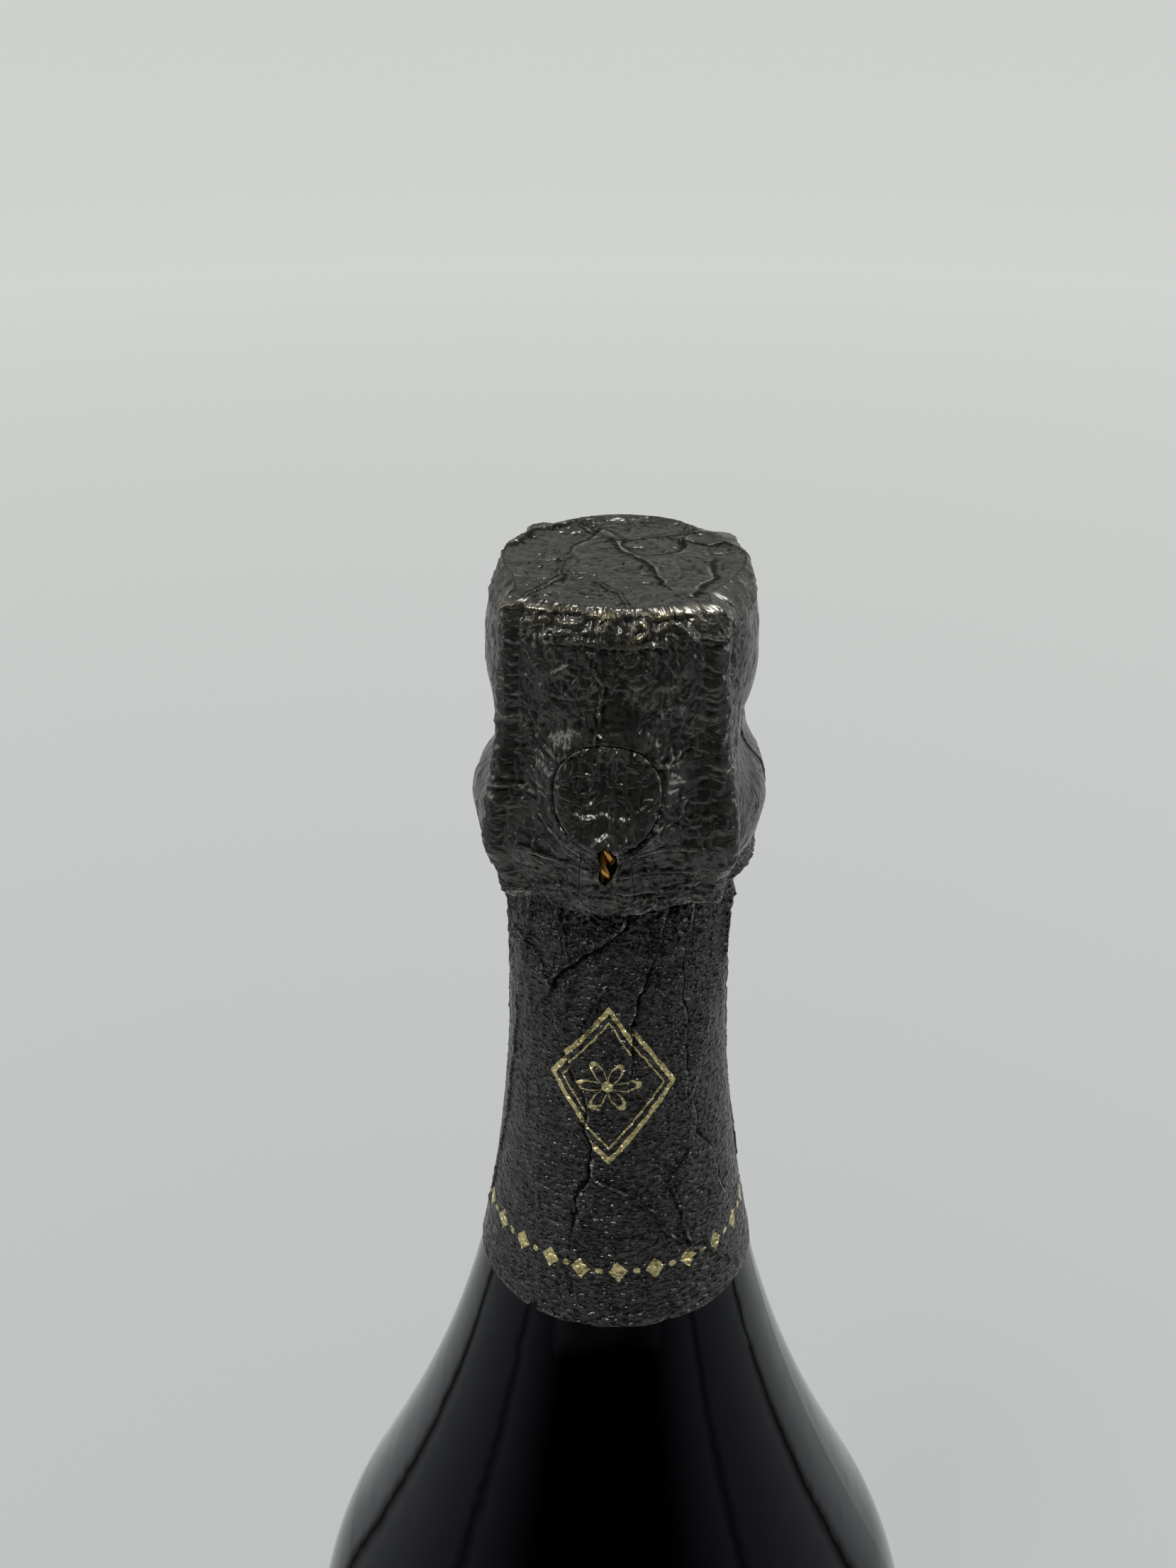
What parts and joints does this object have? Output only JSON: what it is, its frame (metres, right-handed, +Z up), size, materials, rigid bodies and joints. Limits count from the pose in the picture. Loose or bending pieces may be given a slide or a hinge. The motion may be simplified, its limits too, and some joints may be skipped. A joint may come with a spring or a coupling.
{
  "type": "champagne bottle",
  "caption": "Sealed sparkling-wine bottle: dark glass with punt, mushroom cork, plate and twisted-wire muselet with pull loop, under a foil hood and neck sleeve.",
  "frame": {"origin": "centre of the bearing ring, on the surface that the bottle stands on", "axes": "+Z up the bottle's axis, -Y towards the muselet's pull loop, the cage's legs halfway between X and Y"},
  "size_m": [0.0946, 0.0946, 0.305],
  "materials": {
    "dark_glass": "gloss",
    "wine": "gloss",
    "cork_granules": "matte",
    "cork_natural": "matte",
    "plate_lacquer": "satin",
    "gilt_wire": "polished",
    "bronze_foil": "satin"
  },
  "bodies": {
    "bottle": {"glass_bottle": "dark_glass", "wine": "wine", "foil_neck": "bronze_foil"},
    "cork": {"cork_body": "cork_granules", "cork_disc_upper": "cork_natural", "cork_disc_lower": "cork_natural"},
    "muselet": {"muselet_plate": "plate_lacquer", "cage_wire": "gilt_wire", "belt_wire": "gilt_wire"},
    "loop": {"wire_loop": "gilt_wire", "foil_flap": "bronze_foil"},
    "foil": {"foil_hood": "bronze_foil"}
  },
  "joints": [
    {"name": "cork_pull", "type": "slide", "parent": "bottle", "child": "cork", "axis": [0, 0, 1], "range_m": [0, 0.04], "deforming": ["cage_wire", "belt_wire", "wire_loop", "foil_flap", "foil_hood"]},
    {"name": "muselet_lift", "type": "slide", "parent": "cork", "child": "muselet", "axis": [0, 0, 1], "range_m": [0, 0.045], "deforming": ["cage_wire", "belt_wire", "wire_loop", "foil_flap", "foil_hood"]},
    {"name": "foil_lift", "type": "slide", "parent": "muselet", "child": "foil", "axis": [0, 0, 1], "range_m": [0, 0.045], "deforming": ["foil_hood"]},
    {"name": "loop_fold", "type": "hinge", "parent": "muselet", "child": "loop", "pos_m": [0, -0.01528, 0.2704], "axis": [1, 0, 0], "range_deg": [0, 120]}
  ]
}
